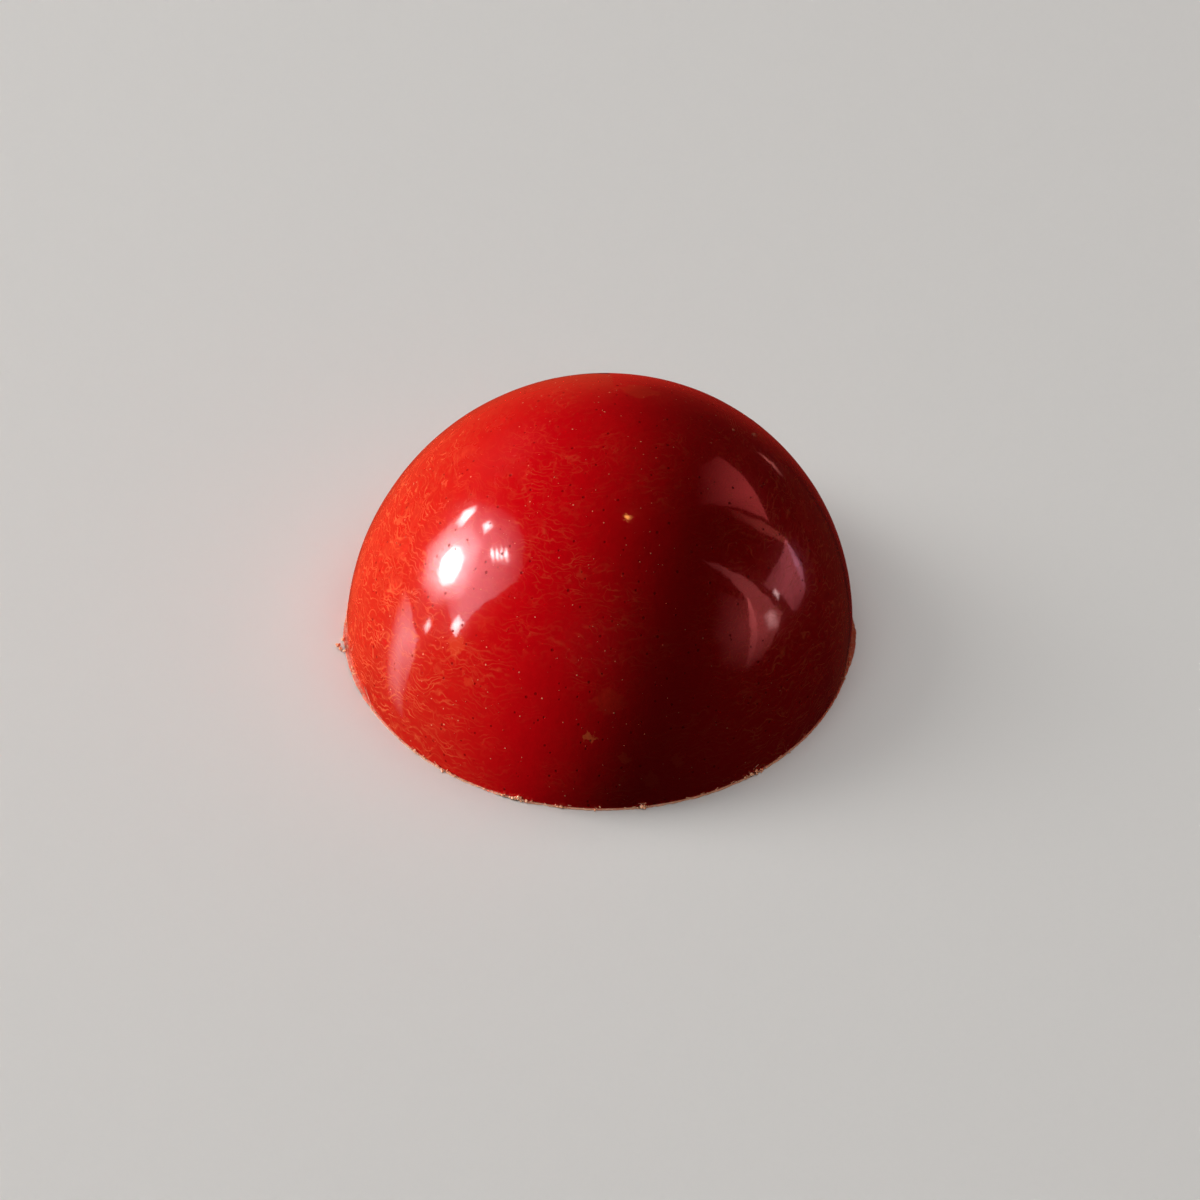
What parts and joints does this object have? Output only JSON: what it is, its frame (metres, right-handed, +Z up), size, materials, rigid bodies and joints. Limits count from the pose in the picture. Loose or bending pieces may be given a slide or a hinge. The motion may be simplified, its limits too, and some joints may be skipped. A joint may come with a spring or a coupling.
{
  "type": "chocolate praline",
  "caption": "Half-sphere moulded chocolate with a glossy red coating, sealed underneath by a thin pale foot with a ragged lip; rests on its flat underside.",
  "frame": {"origin": "middle of the flat underside, on the surface that the praline rests on", "axes": "+Z up through the crown, +X the side that the crown leans to, -Y the front as shown"},
  "size_m": [0.0305, 0.0303, 0.0151],
  "materials": {
    "red_coating": "high gloss coloured cocoa butter, finely streaked and speckled",
    "pale_chocolate": "satin pale chocolate, broken and crumbly at the rim, scraped underneath"
  },
  "bodies": {
    "root": {"dome": "red_coating", "foot": "pale_chocolate"}
  },
  "joints": []
}
